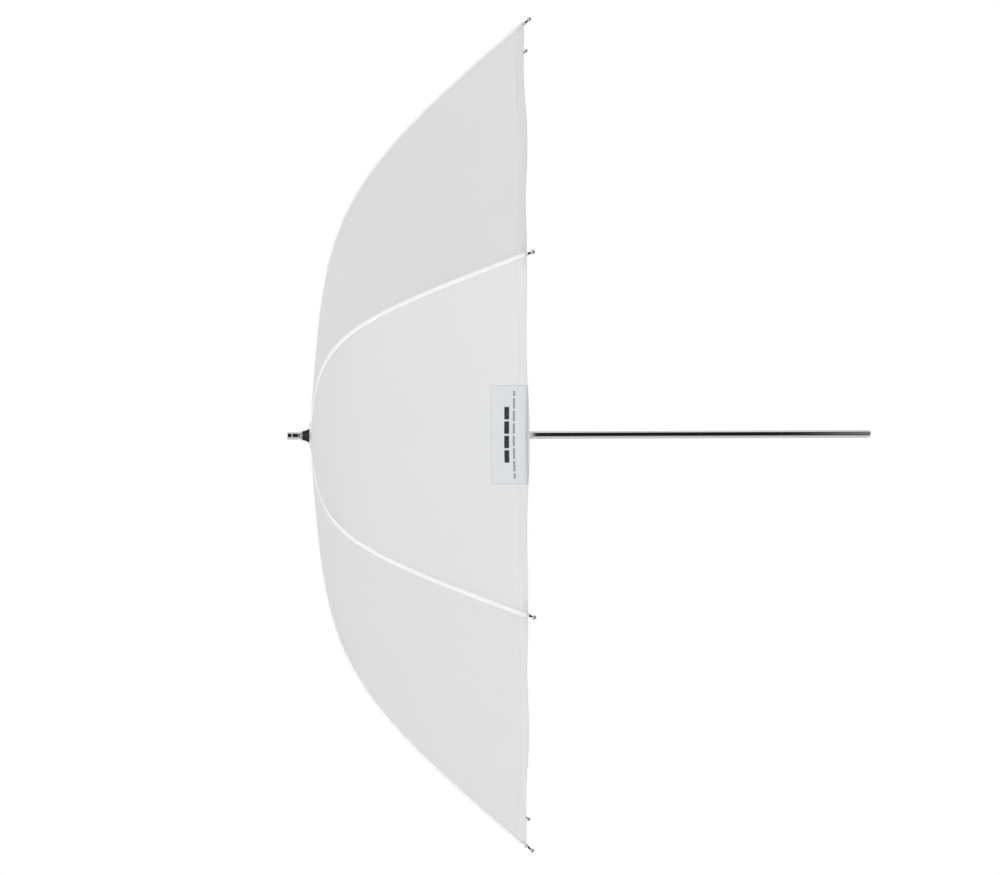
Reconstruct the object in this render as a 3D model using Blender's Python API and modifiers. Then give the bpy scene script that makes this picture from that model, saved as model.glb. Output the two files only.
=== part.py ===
"""Folding umbrella reflector: a white cloth canopy on eight wire ribs, with a straight tubular shaft.

Metres. The shaft runs along X: its free end points to +X and the crown of the canopy to -X.
The origin is on the shaft's axis where a bracket clamps it. Each rib stands in a plane through
the axis. In a rib's own frame X runs along the shaft, Y is tangential and Z is radial.
The canopy is open at rest, which is how it is used.
"""

import math

import bmesh
import bpy
from mathutils import Matrix, Vector

# Canopy
RIB_COUNT = 8
TIP_RADIUS = 0.425  # circle through the tip balls
RIM_PLANE_X = -0.2398  # where the cloth line would reach the tip circle
SLOPE_MEAN = 0.616  # the cloth's slope, halfway between crown and rim
SLOPE_SWING = 0.544  # how far the slope departs from its mean each way
BEND_PLACE = 0.61  # share of the tip radius at which the slope is the mean one
BEND_WIDTH = 0.22  # how gradually the slope changes, as a share of the tip radius
CLOTH_THICKNESS = 0.0005
HEM_RADIUS = 0.4222
CLOTH_START = 0.0138
PATCH_RADIUS = 0.0123
HALF_GORE = math.pi / RIB_COUNT
CLEARANCE = 0.0003

# Shaft
SHAFT_RADIUS = 0.0040
SHAFT_BORE = 0.0033
FREE_END_X = 0.1000
FRONT_END_X = -0.4743
END_WALL = 0.0020
PLUG_DOME = 0.0022
PLUG_RADIUS = 0.0030
PLUG_DEPTH = 0.0100
RETAINER_X = (-0.4634, -0.4598)  # groove for the ring that keeps the cap on
RETAINER_GROOVE = 0.0036
DECOR_GROOVE_X = (-0.4702, -0.4694)
DECOR_GROOVE = 0.00375
SHAFT_CHAMFER = 0.0004
RETAINER_HALF = 0.0007  # half the ring's length
RETAINER_PLAY = 0.0004  # from the ring to the groove's wall
RETAINER_EDGE = 0.0003
RETAINER_PROUD = 0.0006

# Ribs and stretchers
HUB_RADIUS = 0.0100  # pivot circle of the top notch and of the runner
HUB_OFFSET = 0.0028  # from cloth to rib centre at the top notch
RIB_OFFSET = 0.0020  # from cloth to rib centre elsewhere
OFFSET_BLEND = 0.0500
RIB_WIRE = 0.0012
RIB_JOINT = 0.2220  # radius at which the stretcher meets the rib
RIB_POINTS = 7
OUTER_POINTS = 8
EYE_RADIUS = 0.0019
EYE_DEPTH = 0.0022
EYE_HOLE = 0.00085
HUB_WIRE = 0.0005
WIRE_GAP = 0.0035  # from the flex point back to the inner wire's end
OUTER_START = 0.0012  # the outer wire reaches this far back from the flex point
STRETCHER_DROP = 0.0045  # from the rib's centre to the stretcher's pivot
STRETCHER_WIRE = 0.0011
CHEEK_INSIDE = 0.00165
CHEEK_THICKNESS = 0.0008
CHEEK_BACK = 0.0080
CHEEK_FRONT = 0.0024
CHEEK_TOP = 0.0010
CHEEK_BELOW_PIN = 0.0024
CLAMP_LENGTH = 0.0042
CLAMP_DEPTH = 0.0028
PIN_RADIUS = 0.0009
PIN_HEAD = 0.0004
JOINT_EYE_RADIUS = 0.0022
JOINT_EYE_DEPTH = 0.0026
JOINT_EYE_HOLE = 0.00125

# Rib tips
WIRE_END = 0.4215
BALL_PLACE = 0.4265
BALL_RADIUS = 0.00195
NECK_RADIUS = 0.0009
LAST_ARC = 0.4  # share of an arc left between the last ring and the pole

# Hubs
HUB_BORE = 0.0044
HUB_CORE = 0.0069
HUB_RIM = 0.0122
SLOT_FLOOR = 0.0071
SLOT_WIDTH = 0.0032
WIRE_TUNNEL = 0.00085
HUB_STEPS = 24
HUB_EDGE = 0.0006  # bevel on the hubs' rims
HUB_NECK = 0.0030  # length of the core that stands beyond the flange
HUB_TAPER = 0.0008
SLOT_REACH = 0.0120  # half the length of the tools that cut the slots
SLOT_ABOVE = 0.0030
FLANGE_OVER = 0.0016  # flange beyond the pivot circle on its closed side
FLANGE_UNDER = 0.0030  # and on the side that the wires fold towards
RUNNER_SLEEVE = 0.0063
RUNNER_LENGTH = 0.0400
RUNNER_GRIP = 0.0078
RUNNER_GRIP_LENGTH = 0.0030
RUNNER_GRIP_TAPER = 0.0040
RUNNER_FILLET = 0.0012

# Cap
CAP_NARROW = 0.0047
CAP_WIDE = 0.0068
CAP_FRONT_X = -0.4594
CAP_BORE = 0.0043
CAP_LIP = 0.0008

# Catch
CATCH_REACH = 0.0300  # from the tooth's face back to the catch's root
CATCH_THICKNESS = 0.0013
CATCH_TOP = 0.0066
CATCH_RAMP = 0.0140
CATCH_ARM = (0.0012, 0.0026)
SLOT_FOR_CATCH = (0.0008, 0.0155)
CATCH_SLOT_WIDTH = 0.0020
CATCH_SLOT_FLOOR = 0.0015
CATCH_TOOTH = 0.0022  # length of the tooth's top
CATCH_TOOTH_EDGE = 0.0006

# Label
LABEL_WIDTH = 0.0870
LABEL_TOP_RADIUS = 0.3943
LABEL_THICKNESS = 0.0003

SMALL = 1e-5
MERGE = 1e-6


# ---------------------------------------------------------------- shapes of the canopy


def log_cosh(value):
    return math.log(math.cosh(value))


def cloth_x(radius):
    """Place along the shaft of the cloth over a rib, at this radius."""
    rho = radius / TIP_RADIUS
    bend = log_cosh((1 - BEND_PLACE) / BEND_WIDTH) - log_cosh((rho - BEND_PLACE) / BEND_WIDTH)
    rise = SLOPE_MEAN * (1 - rho) + SLOPE_SWING * BEND_WIDTH * bend
    return RIM_PLANE_X - TIP_RADIUS * rise


def cloth_slope(radius):
    """Change of place along the shaft for each metre outwards."""
    rho = radius / TIP_RADIUS
    return SLOPE_MEAN + SLOPE_SWING * math.tanh((rho - BEND_PLACE) / BEND_WIDTH)


def cloth_tangent(radius):
    return Vector((cloth_slope(radius), 0, 1)).normalized()


def inward(radius):
    """Unit normal of the cloth in the rib's plane, towards the inside of the canopy."""
    tangent = cloth_tangent(radius)
    return Vector((tangent.z, 0, -tangent.x))


def cloth_point(radius):
    return Vector((cloth_x(radius), 0, radius))


def rib_point(radius):
    """Centre of the rib under the cloth at this radius."""
    share = max(0.0, 1 - (radius - HUB_RADIUS) / OFFSET_BLEND)
    offset = RIB_OFFSET + (HUB_OFFSET - RIB_OFFSET) * share
    return cloth_point(radius) + offset * inward(radius)


NOTCH_PIVOT = Vector((cloth_x(HUB_RADIUS) + HUB_OFFSET, 0, HUB_RADIUS))
FLEX_POINT = rib_point(RIB_JOINT)
STRETCHER_PIVOT = FLEX_POINT + STRETCHER_DROP * inward(RIB_JOINT)
RUNNER_PIVOT = Vector((2 * STRETCHER_PIVOT.x - NOTCH_PIVOT.x, 0, HUB_RADIUS))
RUNNER_END_X = RUNNER_PIVOT.x + RUNNER_LENGTH
CATCH_FACE_X = RUNNER_END_X + CLEARANCE
CATCH_ROOT = Vector((CATCH_FACE_X + CATCH_REACH, 0, sum(CATCH_ARM) / 2))


# ---------------------------------------------------------------- scene helpers


def clear_scene():
    for obj in list(bpy.data.objects):
        bpy.data.objects.remove(obj, do_unlink=True)


def new_collection(name):
    collection = bpy.data.collections.new(name)
    bpy.context.scene.collection.children.link(collection)
    return collection


def material(name, colour, roughness, metallic=0.0):
    made = bpy.data.materials.new(name)
    made.use_nodes = True
    shader = made.node_tree.nodes["Principled BSDF"]
    shader.inputs["Base Color"].default_value = (*colour, 1)
    shader.inputs["Roughness"].default_value = roughness
    shader.inputs["Metallic"].default_value = metallic
    return made


def add_object(name, data, collection, paint=None):
    obj = bpy.data.objects.new(name, data)
    collection.objects.link(obj)
    if paint and not data.materials:
        data.materials.append(paint)
    return obj


def add_mesh(name, fill, collection, paint=None):
    """Object whose mesh is made by fill(bm)."""
    mesh = bpy.data.meshes.new(name)
    bm = bmesh.new()
    fill(bm)
    bm.to_mesh(mesh)
    bm.free()
    return add_object(name, mesh, collection, paint)


def baked_mesh(obj):
    """The object's mesh as its modifiers leave it, with a curve's caps welded."""
    depsgraph = bpy.context.evaluated_depsgraph_get()
    mesh = bpy.data.meshes.new_from_object(obj.evaluated_get(depsgraph))
    bm = bmesh.new()
    bm.from_mesh(mesh)
    bmesh.ops.remove_doubles(bm, verts=bm.verts, dist=MERGE)
    bm.to_mesh(mesh)
    bm.free()
    return mesh


def smooth(mesh, angle=35):
    mesh.shade_smooth()
    mesh.set_sharp_from_angle(angle=math.radians(angle))


def boolean(obj, tool, operation):
    modifier = obj.modifiers.new(tool.name, "BOOLEAN")
    modifier.operation = operation
    modifier.solver = "EXACT"
    modifier.object = tool
    tool.hide_render = True
    tool.display_type = "WIRE"


def cylinder_y(name, radius, depth, place, collection, segments=10):
    """A cylinder whose axis is tangential, centred on place."""

    def fill(bm):
        turn = Matrix.Translation(place) @ Matrix.Rotation(math.pi / 2, 4, "X")
        bmesh.ops.create_cone(
            bm,
            cap_ends=True,
            segments=segments,
            radius1=radius,
            radius2=radius,
            depth=depth,
            matrix=turn,
        )

    return add_mesh(name, fill, collection)


def box(name, low, high, collection, frame=None):
    """A box between two corners, given in a frame."""
    low, high = Vector(low), Vector(high)
    size = high - low
    place = Matrix.Translation((low + high) / 2) @ Matrix.Diagonal((*size, 1))
    matrix = (frame or Matrix.Identity(4)) @ place
    return add_mesh(name, lambda bm: bmesh.ops.create_cube(bm, size=1, matrix=matrix), collection)


def wire(name, points, radius, collection):
    """A closed round wire through the points, made a mesh."""
    curve = bpy.data.curves.new(name, "CURVE")
    curve.dimensions = "3D"
    curve.bevel_depth = radius
    curve.bevel_resolution = 2
    curve.use_fill_caps = True
    spline = curve.splines.new("POLY")
    spline.points.add(len(points) - 1)
    for slot, point in zip(spline.points, points):
        slot.co = (*point, 1)
    drawn = add_object(name + "_curve", curve, collection)
    made = add_object(name, baked_mesh(drawn), collection)
    bpy.data.objects.remove(drawn)
    return made


def turned(name, profile, collection, paint, steps=32, closed=False):
    """A solid turned about the shaft's axis from (x, radius) points.

    The points run from the crown side to the free side down the outer surface.
    A closed profile has a bore.
    """
    curve_points = [Vector((radius, 0, -x)) for x, radius in profile]

    def fill(bm):
        verts = [bm.verts.new(point) for point in curve_points]
        for a, b in zip(verts, verts[1:]):
            bm.edges.new((a, b))
        if closed:
            bm.edges.new((verts[-1], verts[0]))

    obj = add_mesh(name, fill, collection, paint)
    screw = obj.modifiers.new("Turn", "SCREW")
    screw.axis = "Z"
    screw.angle = 2 * math.pi
    screw.steps = steps
    screw.render_steps = steps
    screw.use_merge_vertices = True
    screw.merge_threshold = MERGE
    obj.rotation_euler = (0, -math.pi / 2, 0)
    return obj


def finished(name, source, paint):
    """A new object with the source's evaluated mesh, which copies can share."""
    mesh = baked_mesh(source)
    mesh.name = name
    mesh.materials.clear()
    mesh.materials.append(paint)
    smooth(mesh)
    return mesh


def along_tangent(radius, place):
    """Frame at place: X along the rib outwards, Y tangential, Z out through the cloth."""
    tangent = cloth_tangent(radius)
    out = -inward(radius)
    matrix = Matrix((tangent, (0, 1, 0), out)).transposed().to_4x4()
    matrix.translation = place
    return matrix


# ---------------------------------------------------------------- repeated meshes, in a rib's frame


def rib_inner_mesh(tools, paint):
    """Wire from the eye in the top notch to the clamp that carries the stretcher's pin."""
    step = (RIB_JOINT - HUB_RADIUS) / RIB_POINTS
    path = [NOTCH_PIVOT + Vector((0, 0, EYE_HOLE + SMALL))]
    path += [rib_point(HUB_RADIUS + step * (i + 0.5)) for i in range(RIB_POINTS)]
    path += [FLEX_POINT - WIRE_GAP * cloth_tangent(RIB_JOINT)]
    points = [point - NOTCH_PIVOT for point in path]
    body = wire("rib_inner_tool", points, RIB_WIRE, tools)
    boolean(body, cylinder_y("rib_eye_tool", EYE_RADIUS, EYE_DEPTH, (0, 0, 0), tools), "UNION")
    frame = along_tangent(RIB_JOINT, FLEX_POINT - NOTCH_PIVOT)
    outside = CHEEK_INSIDE + CHEEK_THICKNESS
    clamp_low = (-CHEEK_BACK, -outside, -CLAMP_DEPTH)
    clamp_high = (-CHEEK_BACK + CLAMP_LENGTH, outside, CHEEK_TOP)
    boolean(body, box("clamp_tool", clamp_low, clamp_high, tools, frame), "UNION")
    bottom = -STRETCHER_DROP - CHEEK_BELOW_PIN
    for side, low_y, high_y in (("a", CHEEK_INSIDE, outside), ("b", -outside, -CHEEK_INSIDE)):
        low = (-CHEEK_BACK + SMALL, low_y, bottom)
        high = (CHEEK_FRONT, high_y, CHEEK_TOP - SMALL)
        boolean(body, box(f"cheek_tool_{side}", low, high, tools, frame), "UNION")
    pin_place = STRETCHER_PIVOT - NOTCH_PIVOT
    pin_depth = 2 * (outside + PIN_HEAD)
    boolean(body, cylinder_y("pin_tool", PIN_RADIUS, pin_depth, pin_place, tools), "UNION")
    hole = cylinder_y("rib_hole_tool", EYE_HOLE, 2 * EYE_DEPTH, (0, 0, 0), tools)
    boolean(body, hole, "DIFFERENCE")
    return finished("rib_inner", body, paint)


def rib_outer_mesh(tools, paint):
    """Wire from the flex point to the corner of the cloth."""
    step = (WIRE_END - RIB_JOINT) / OUTER_POINTS
    path = [FLEX_POINT - OUTER_START * cloth_tangent(RIB_JOINT)]
    path += [rib_point(RIB_JOINT + step * (i + 1)) for i in range(OUTER_POINTS)]
    points = [point - FLEX_POINT for point in path]
    return finished("rib_outer", wire("rib_outer_tool", points, RIB_WIRE, tools), paint)


def stretcher_mesh(tools, paint):
    """Straight wire with an eye at each end."""
    far = RUNNER_PIVOT - STRETCHER_PIVOT
    way = far.normalized()
    ends = [way * (JOINT_EYE_HOLE + SMALL), far - way * (EYE_HOLE + SMALL)]
    body = wire("stretcher_tool", ends, STRETCHER_WIRE, tools)
    eyes = (
        ("joint", (0, 0, 0), JOINT_EYE_RADIUS, JOINT_EYE_DEPTH, JOINT_EYE_HOLE),
        ("runner", far, EYE_RADIUS, EYE_DEPTH, EYE_HOLE),
    )
    for which, place, radius, depth, _ in eyes:
        eye = cylinder_y(f"stretcher_eye_{which}", radius, depth, place, tools)
        boolean(body, eye, "UNION")
    for which, place, _, depth, hole in eyes:
        drill = cylinder_y(f"stretcher_hole_{which}", hole, 2 * depth, place, tools)
        boolean(body, drill, "DIFFERENCE")
    return finished("stretcher", body, paint)


def tip_mesh(tools, paint):
    """Ball on a thin neck. Its own X axis runs outwards from the wire's end."""
    start = CLEARANCE
    centre = (rib_point(BALL_PLACE) - rib_point(WIRE_END)).length
    join = centre - math.sqrt(BALL_RADIUS**2 - NECK_RADIUS**2)
    first = math.asin(NECK_RADIUS / BALL_RADIUS)
    arcs = 4
    profile = [(start, 0), (start, NECK_RADIUS), (join, NECK_RADIUS)]
    for i in range(1, arcs + 1):
        angle = first + (math.pi - first) * i / (arcs + LAST_ARC)
        profile.append((centre - BALL_RADIUS * math.cos(angle), BALL_RADIUS * math.sin(angle)))
    profile.append((centre + BALL_RADIUS, 0))
    body = turned("tip_tool", [(-x, r) for x, r in reversed(profile)], tools, paint, steps=10)
    return finished("rib_tip", body, paint)


def cloth_mesh(name, radii, origin, tools, paint):
    """Cloth on both sides of a rib, out to the middles of the two gores that meet there.

    Each gore is straight across, from rib to rib, at every place along the shaft.
    """
    rows = len(radii) - 1
    across = 2

    def fill(bm):
        bmesh.ops.create_grid(bm, x_segments=rows, y_segments=across, size=1)
        for vert in bm.verts:
            row = round((vert.co.x + 1) / 2 * rows)
            side = vert.co.y
            radius = radii[row]
            reach = radius * math.sin(HALF_GORE) - CLEARANCE
            place = cloth_point(radius)
            place.z -= abs(side) * reach * math.sin(HALF_GORE)
            place.y = side * reach * math.cos(HALF_GORE)
            vert.co = place - origin
        bmesh.ops.recalc_face_normals(bm, faces=bm.faces)

    sheet = add_mesh(name + "_tool", fill, tools, paint)
    solid = sheet.modifiers.new("Thickness", "SOLIDIFY")
    solid.thickness = CLOTH_THICKNESS
    solid.offset = 0
    solid.use_even_offset = True
    return finished(name, sheet, paint)


def label_object(parts, paint):
    """Woven label on the outside of the front gore, with its lower edge on the hem."""
    rows = 4
    out_by = CLOTH_THICKNESS / 2 + CLEARANCE + LABEL_THICKNESS / 2
    spread = math.cos(HALF_GORE)

    def fill(bm):
        bmesh.ops.create_grid(bm, x_segments=rows, y_segments=1, size=1)
        for vert in bm.verts:
            share = (vert.co.x + 1) / 2
            radius = LABEL_TOP_RADIUS + (HEM_RADIUS - LABEL_TOP_RADIUS) * share
            normal = Vector((-spread, 0, cloth_slope(radius))).normalized()
            place = Vector((cloth_x(radius), 0, radius * spread)) + out_by * normal
            vert.co = Vector((place.x, vert.co.y * LABEL_WIDTH / 2, place.z))
        bmesh.ops.recalc_face_normals(bm, faces=bm.faces)

    label = add_mesh("label", fill, parts, paint)
    label.rotation_euler = (math.pi / 2, 0, 0)
    solid = label.modifiers.new("Thickness", "SOLIDIFY")
    solid.thickness = LABEL_THICKNESS
    solid.offset = 0
    return label


# ---------------------------------------------------------------- single pieces


def make_shaft(parts, tools, paint):
    groove_a, groove_b = DECOR_GROOVE_X
    retainer_a, retainer_b = RETAINER_X
    end_x = FREE_END_X - PLUG_DOME
    profile = [
        (FRONT_END_X, 0),
        (FRONT_END_X, SHAFT_RADIUS - SHAFT_CHAMFER),
        (FRONT_END_X + SHAFT_CHAMFER, SHAFT_RADIUS),
        (groove_a, SHAFT_RADIUS),
        (groove_a, DECOR_GROOVE),
        (groove_b, DECOR_GROOVE),
        (groove_b, SHAFT_RADIUS),
        (retainer_a, SHAFT_RADIUS),
        (retainer_a, RETAINER_GROOVE),
        (retainer_b, RETAINER_GROOVE),
        (retainer_b, SHAFT_RADIUS),
        (end_x, SHAFT_RADIUS),
        (end_x, SHAFT_BORE),
        (FRONT_END_X + END_WALL, SHAFT_BORE),
        (FRONT_END_X + END_WALL, 0),
    ]
    shaft = turned("shaft", profile, parts, paint, steps=24)
    low = (CATCH_FACE_X - SLOT_FOR_CATCH[0], -CATCH_SLOT_WIDTH / 2, CATCH_SLOT_FLOOR)
    high = (CATCH_FACE_X + SLOT_FOR_CATCH[1], CATCH_SLOT_WIDTH / 2, 2 * SHAFT_RADIUS)
    slot = box("catch_slot_tool", low, high, tools)
    boolean(shaft, slot, "DIFFERENCE")
    return shaft


def make_end_plug(parts, paint):
    """Domed plug in the shaft's free end."""
    seat = FREE_END_X - PLUG_DOME + CLEARANCE
    dome = FREE_END_X - seat
    arcs = 4
    profile = [(seat - PLUG_DEPTH, 0), (seat - PLUG_DEPTH, PLUG_RADIUS), (seat, PLUG_RADIUS)]
    for i in range(arcs):
        angle = math.pi / 2 * i / arcs
        profile.append((seat + dome * math.sin(angle), SHAFT_RADIUS * math.cos(angle)))
    profile.append((FREE_END_X, 0))
    return turned("end_plug", profile, parts, paint, steps=20)


def make_cap(parts, paint):
    """Flared cap that holds the canopy's crown down on the top notch."""
    base_x = cloth_x(0) - CLOTH_THICKNESS / 2 - CLEARANCE
    length = base_x - CAP_FRONT_X
    arcs = 5
    profile = [(CAP_FRONT_X, CAP_BORE)]
    for i in range(arcs + 1):
        share = i / arcs
        flare = CAP_NARROW + (CAP_WIDE - CAP_NARROW) * share**2
        profile.append((CAP_FRONT_X + (length - CAP_LIP) * share, flare))
    profile += [(base_x, CAP_WIDE), (base_x, CAP_BORE)]
    return turned("crown_cap", profile, parts, paint, steps=24, closed=True)


def make_retainer(parts, paint):
    """Ring in the shaft's groove, in front of the cap."""
    half = RETAINER_HALF
    middle = RETAINER_X[1] - RETAINER_PLAY - half
    edge = RETAINER_EDGE
    inner = RETAINER_GROOVE + CLEARANCE
    outer = SHAFT_RADIUS + RETAINER_PROUD
    profile = [
        (middle - half, inner),
        (middle - half, outer - edge),
        (middle - half + edge, outer),
        (middle + half - edge, outer),
        (middle + half, outer - edge),
        (middle + half, inner),
    ]
    return turned("cap_retainer", profile, parts, paint, steps=24, closed=True)


def make_patch(parts, paint):
    """Round of cloth that is clamped under the cap."""
    half = CLOTH_THICKNESS / 2
    profile = [
        (cloth_x(CAP_BORE) - half, CAP_BORE),
        (cloth_x(PATCH_RADIUS) - half, PATCH_RADIUS),
        (cloth_x(PATCH_RADIUS) + half, PATCH_RADIUS),
        (cloth_x(CAP_BORE) + half, CAP_BORE),
    ]
    return turned("crown_patch", profile, parts, paint, steps=24, closed=True)


def hub_cuts(hub, pivot_x, tools):
    """Radial slots for the eyes, and the ring tunnel for the wire that they turn on."""
    low = (pivot_x - SLOT_REACH, -SLOT_WIDTH / 2, SLOT_FLOOR)
    high = (pivot_x + SLOT_REACH, SLOT_WIDTH / 2, HUB_RIM + SLOT_ABOVE)
    for k in range(RIB_COUNT):
        frame = Matrix.Rotation(station_turn(k), 4, "X")
        slot = box(f"{hub.name}_slot_tool_{k + 1}", low, high, tools, frame)
        boolean(hub, slot, "DIFFERENCE")
    tunnel = ring(f"{hub.name}_tunnel_tool", WIRE_TUNNEL, pivot_x, tools, None)
    boolean(hub, tunnel, "DIFFERENCE")


def ring(name, thickness, pivot_x, collection, paint):
    """Wire ring on the pivot circle."""
    bpy.ops.mesh.primitive_torus_add(
        major_radius=HUB_RADIUS,
        minor_radius=thickness,
        major_segments=HUB_STEPS,
        minor_segments=6,
        location=(pivot_x, 0, 0),
        rotation=(0, math.pi / 2, 0),
    )
    obj = bpy.context.object
    obj.name = name
    for other in list(obj.users_collection):
        other.objects.unlink(obj)
    collection.objects.link(obj)
    if paint:
        obj.data.materials.append(paint)
    return obj


def make_top_notch(parts, tools, paint):
    x = NOTCH_PIVOT.x
    profile = [
        (x - FLANGE_OVER, HUB_BORE),
        (x - FLANGE_OVER, HUB_RIM - HUB_EDGE),
        (x - FLANGE_OVER + HUB_EDGE, HUB_RIM),
        (x + FLANGE_UNDER, HUB_RIM),
        (x + FLANGE_UNDER, HUB_CORE),
        (x + FLANGE_UNDER + HUB_NECK, HUB_CORE - HUB_TAPER),
        (x + FLANGE_UNDER + HUB_NECK, HUB_BORE),
    ]
    notch = turned("top_notch", profile, parts, paint, steps=HUB_STEPS, closed=True)
    hub_cuts(notch, x, tools)
    return notch


def make_runner(parts, tools, paint):
    x = RUNNER_PIVOT.x
    profile = [
        (x - FLANGE_UNDER - HUB_NECK, HUB_BORE),
        (x - FLANGE_UNDER - HUB_NECK, HUB_CORE - HUB_TAPER),
        (x - FLANGE_UNDER, HUB_CORE),
        (x - FLANGE_UNDER, HUB_RIM),
        (x + FLANGE_OVER - HUB_EDGE, HUB_RIM),
        (x + FLANGE_OVER, HUB_RIM - HUB_EDGE),
        (x + FLANGE_OVER, RUNNER_SLEEVE + RUNNER_FILLET / 2),
        (x + FLANGE_OVER + RUNNER_FILLET, RUNNER_SLEEVE),
        (RUNNER_END_X - RUNNER_GRIP_LENGTH - RUNNER_GRIP_TAPER, RUNNER_SLEEVE),
        (RUNNER_END_X - RUNNER_GRIP_LENGTH, RUNNER_GRIP),
        (RUNNER_END_X, RUNNER_GRIP),
        (RUNNER_END_X, HUB_BORE),
    ]
    runner = turned("runner", profile, parts, paint, steps=HUB_STEPS, closed=True)
    hub_cuts(runner, x, tools)
    return runner


def make_catch(parts, paint):
    """Bent spring strip with a tooth that holds the runner up. It turns about its root."""
    outline = [
        (0.0, CATCH_ARM[0]),
        (0.0, CATCH_TOP - CATCH_TOOTH_EDGE),
        (CATCH_TOOTH_EDGE, CATCH_TOP),
        (CATCH_TOOTH, CATCH_TOP),
        (CATCH_RAMP, CATCH_ARM[1]),
        (CATCH_REACH, CATCH_ARM[1]),
        (CATCH_REACH, CATCH_ARM[0]),
    ]
    curve = bpy.data.curves.new("catch_spring", "CURVE")
    curve.dimensions = "2D"
    curve.fill_mode = "BOTH"
    curve.extrude = CATCH_THICKNESS / 2
    spline = curve.splines.new("POLY")
    spline.points.add(len(outline) - 1)
    spline.use_cyclic_u = True
    for slot, (x, z) in zip(spline.points, outline):
        slot.co = (x - CATCH_REACH, z - CATCH_ROOT.z, 0, 1)
    catch = add_object("catch_spring", curve, parts, paint)
    catch.location = CATCH_ROOT
    catch.rotation_euler = (math.pi / 2, 0, 0)
    return catch


# ---------------------------------------------------------------- assembly


def station_turn(k):
    """Turn about the shaft that brings +Z to rib k, counted from 0.

    Ribs 1 and 8 stand on either side of the gore that faces -Y.
    """
    around = HALF_GORE + 2 * HALF_GORE * k
    return math.pi / 2 - around


def make_stations(parts):
    stations = []
    for k in range(RIB_COUNT):
        station = add_object(f"station_{k + 1}", None, parts)
        station.rotation_euler = (station_turn(k), 0, 0)
        stations.append(station)
    return stations


def place_copy(name, mesh, parts, station, location, rotation=(0, 0, 0)):
    obj = add_object(name, mesh, parts)
    obj.parent = station
    obj.location = location
    obj.rotation_euler = rotation
    return obj


def spaced(first, last, count):
    return [first + (last - first) * i / count for i in range(count + 1)]


def build():
    clear_scene()
    parts = new_collection("umbrella_reflector")
    tools = new_collection("tools")

    chrome = material("chrome", (0.80, 0.80, 0.82), 0.12, 1.0)
    steel = material("zinc_steel", (0.62, 0.63, 0.65), 0.35, 1.0)
    black = material("black_plastic", (0.02, 0.02, 0.022), 0.4)
    tip_metal = material("tip_metal", (0.30, 0.30, 0.31), 0.35, 1.0)
    cloth = material("white_cloth", (0.88, 0.88, 0.88), 0.85)
    label_cloth = material("label_cloth", (0.72, 0.77, 0.80), 0.7)

    make_shaft(parts, tools, chrome)
    make_end_plug(parts, chrome)
    make_cap(parts, black)
    make_retainer(parts, steel)
    make_patch(parts, cloth)
    make_top_notch(parts, tools, black)
    ring("notch_wire", HUB_WIRE, NOTCH_PIVOT.x, parts, steel)
    make_runner(parts, tools, black)
    ring("runner_wire", HUB_WIRE, RUNNER_PIVOT.x, parts, steel)
    make_catch(parts, steel)
    label_object(parts, label_cloth)

    inner_radii = spaced(CLOTH_START, RIB_JOINT - CLEARANCE, 7)
    outer_radii = spaced(RIB_JOINT + CLEARANCE, HEM_RADIUS, 8)
    rib_inner = rib_inner_mesh(tools, steel)
    rib_outer = rib_outer_mesh(tools, steel)
    stretcher = stretcher_mesh(tools, steel)
    tip = tip_mesh(tools, tip_metal)
    cloth_inner = cloth_mesh("canopy_inner", inner_radii, NOTCH_PIVOT, tools, cloth)
    cloth_outer = cloth_mesh("canopy_outer", outer_radii, FLEX_POINT, tools, cloth)
    tip_heading = math.atan2(cloth_slope(WIRE_END), 1)

    for k, station in enumerate(make_stations(parts), start=1):
        place_copy(f"rib_inner_{k}", rib_inner, parts, station, NOTCH_PIVOT)
        place_copy(f"rib_outer_{k}", rib_outer, parts, station, FLEX_POINT)
        place_copy(f"stretcher_{k}", stretcher, parts, station, STRETCHER_PIVOT)
        place_copy(f"rib_tip_{k}", tip, parts, station, rib_point(WIRE_END), (0, tip_heading, 0))
        place_copy(f"canopy_inner_{k}", cloth_inner, parts, station, NOTCH_PIVOT)
        place_copy(f"canopy_outer_{k}", cloth_outer, parts, station, FLEX_POINT)

    for tool in tools.objects:
        tool.hide_render = True
        tool.display_type = "WIRE"


build()
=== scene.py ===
"""Looks of the folding umbrella reflector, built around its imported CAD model.

Metres. The shaft runs along X, and the canopy opens towards +X. Each rib stands in a plane
through the shaft's axis. In a rib's own frame X runs along the shaft, Y is tangential and Z
is radial, as in the CAD model.
"""

import math

import bmesh
import bpy
from mathutils import Matrix, Vector, noise


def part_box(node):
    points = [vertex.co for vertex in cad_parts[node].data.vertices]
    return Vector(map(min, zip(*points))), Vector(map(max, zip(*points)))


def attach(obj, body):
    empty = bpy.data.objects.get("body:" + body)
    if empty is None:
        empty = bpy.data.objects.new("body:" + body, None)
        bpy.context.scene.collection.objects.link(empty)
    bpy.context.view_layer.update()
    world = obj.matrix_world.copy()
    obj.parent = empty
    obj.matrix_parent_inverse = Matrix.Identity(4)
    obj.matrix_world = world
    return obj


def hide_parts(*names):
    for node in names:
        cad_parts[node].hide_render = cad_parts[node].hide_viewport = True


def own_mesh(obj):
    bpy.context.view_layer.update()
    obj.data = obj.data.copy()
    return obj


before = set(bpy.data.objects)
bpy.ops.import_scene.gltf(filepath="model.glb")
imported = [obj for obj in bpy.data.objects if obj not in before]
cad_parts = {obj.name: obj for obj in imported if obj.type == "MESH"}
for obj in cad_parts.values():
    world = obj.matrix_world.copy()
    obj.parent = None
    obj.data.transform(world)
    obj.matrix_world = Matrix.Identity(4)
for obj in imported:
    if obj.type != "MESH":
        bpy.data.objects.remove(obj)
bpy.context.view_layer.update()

# Canopy, with the CAD model's own line
RIB_COUNT = 8
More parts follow.
